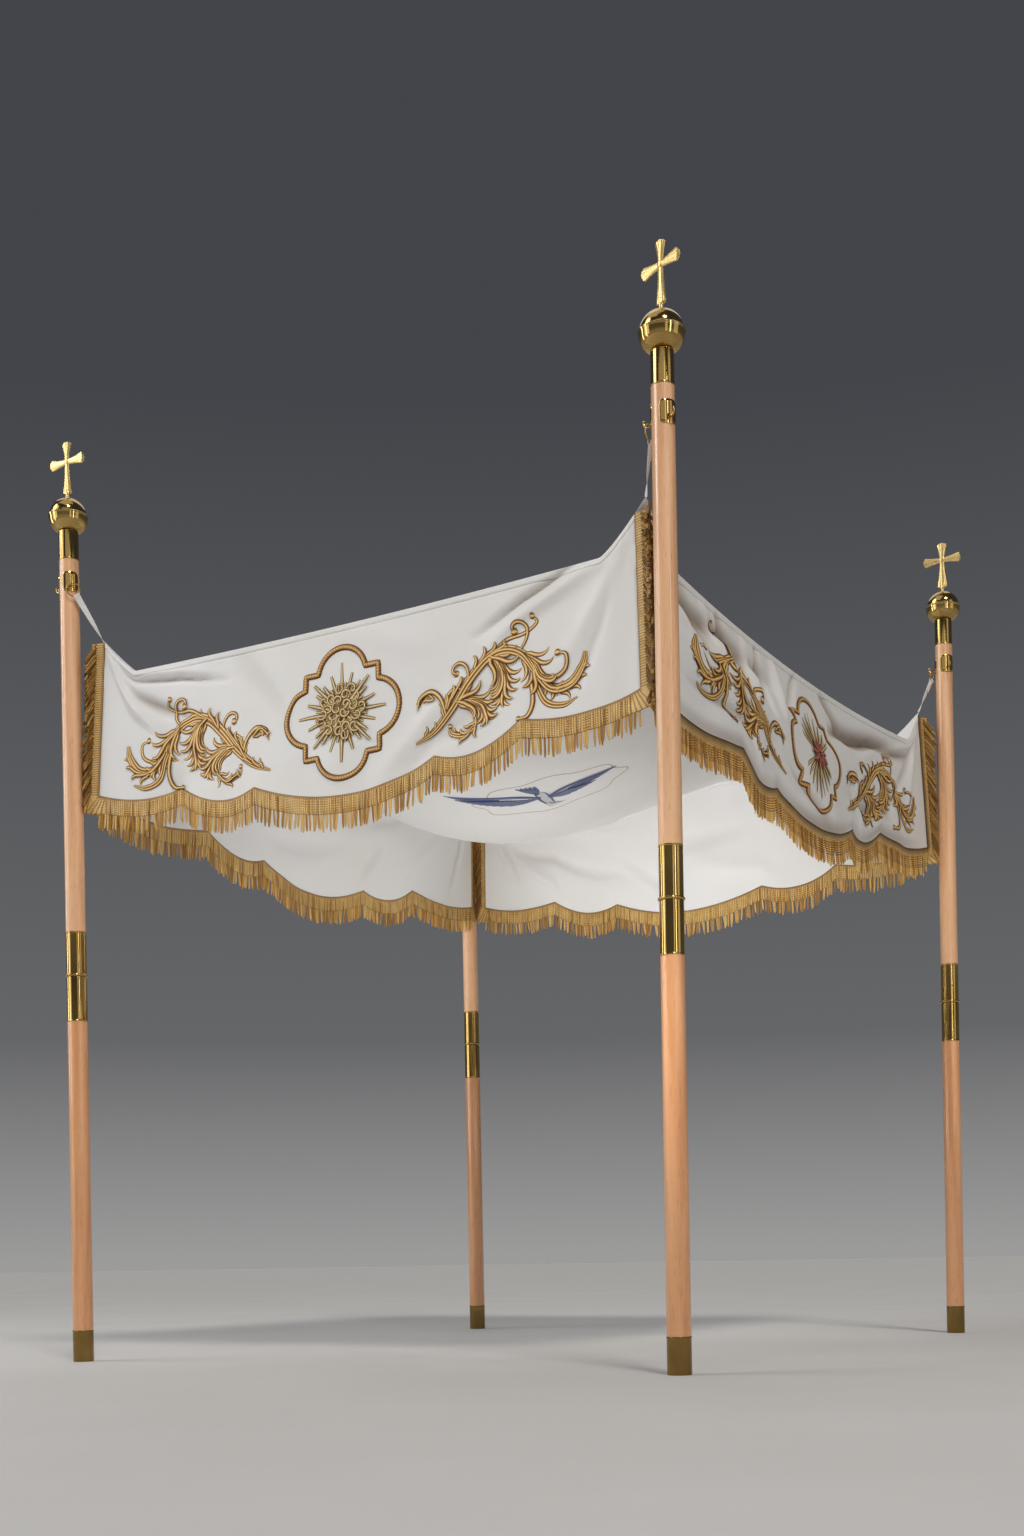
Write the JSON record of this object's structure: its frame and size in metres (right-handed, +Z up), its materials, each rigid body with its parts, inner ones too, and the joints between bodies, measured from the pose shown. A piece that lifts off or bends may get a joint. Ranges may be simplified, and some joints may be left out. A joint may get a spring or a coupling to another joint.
{
  "type": "processional canopy with poles",
  "caption": "Processional cloth canopy: sagging ceiling, shaped embroidered valances with bullion fringe, hung by straps and rings on jointed wooden poles with brass fittings and cross finials.",
  "frame": {"origin": "on the floor, midway between the four poles", "axes": "+Z up; +Y from the front valance to the back one; +X to the right of someone who faces the front"},
  "size_m": [1.8148, 1.9996, 2.35],
  "materials": {
    "cloth": "soft satin weave with gold embroidery",
    "fringe": "twisted gold bullion",
    "brass": "polished",
    "wood": "clear varnish"
  },
  "bodies": {
    "root": {"ferrule_front_left": "brass", "lower_pole_front_left": "wood", "lower_coupling_front_left": "brass", "upper_coupling_front_left": "brass", "upper_pole_front_left": "wood", "collar_front_left": "brass", "ball_front_left": "brass", "cross_front_left": "brass", "inner_hook_front_left": "brass", "outer_hook_front_left": "brass", "ring_front_left": "brass", "strap_front_left": "cloth", "ferrule_front_right": "brass", "lower_pole_front_right": "wood", "lower_coupling_front_right": "brass", "upper_coupling_front_right": "brass", "upper_pole_front_right": "wood", "collar_front_right": "brass", "ball_front_right": "brass", "cross_front_right": "brass", "inner_hook_front_right": "brass", "outer_hook_front_right": "brass", "ring_front_right": "brass", "strap_front_right": "cloth", "ferrule_back_right": "brass", "lower_pole_back_right": "wood", "lower_coupling_back_right": "brass", "upper_coupling_back_right": "brass", "upper_pole_back_right": "wood", "collar_back_right": "brass", "ball_back_right": "brass", "cross_back_right": "brass", "inner_hook_back_right": "brass", "outer_hook_back_right": "brass", "ring_back_right": "brass", "strap_back_right": "cloth", "ferrule_back_left": "brass", "lower_pole_back_left": "wood", "lower_coupling_back_left": "brass", "upper_coupling_back_left": "brass", "upper_pole_back_left": "wood", "collar_back_left": "brass", "ball_back_left": "brass", "cross_back_left": "brass", "inner_hook_back_left": "brass", "outer_hook_back_left": "brass", "ring_back_left": "brass", "strap_back_left": "cloth", "ceiling": "cloth", "valance_front": "cloth", "fringe_front": "fringe", "valance_right": "cloth", "fringe_right": "fringe", "valance_back": "cloth", "fringe_back": "fringe", "valance_left": "cloth", "fringe_left": "fringe"}
  },
  "joints": []
}
